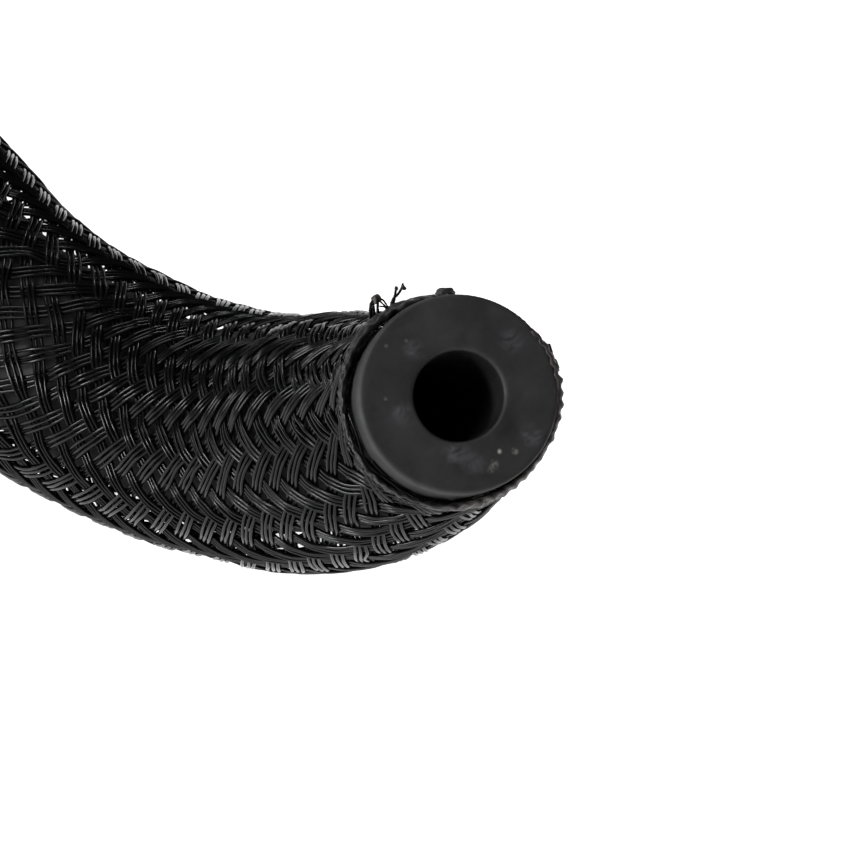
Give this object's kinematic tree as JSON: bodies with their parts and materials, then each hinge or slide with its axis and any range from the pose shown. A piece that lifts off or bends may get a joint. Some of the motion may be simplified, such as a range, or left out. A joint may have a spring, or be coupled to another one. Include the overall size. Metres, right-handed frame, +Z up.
{
  "type": "coolant hose",
  "caption": "Thick-walled rubber coolant hose in a loose braided sleeve with fused rims, formed to a curve and lying flat with its cut near end raised.",
  "frame": {"origin": "on the surface that the hose lies on, under the middle of its bounding box", "axes": "+Z up from the surface; +X the way the square far end faces; -Y the side towards which the raised near end points"},
  "size_m": [0.102, 0.1646, 0.0488],
  "materials": {
    "black_rubber": "matt black rubber, slightly cloudy on the cut face",
    "black_braid": "satin black plastic strands"
  },
  "bodies": {
    "root": {"rubber_hose": "black_rubber", "braided_sleeve": "black_braid"}
  },
  "joints": []
}
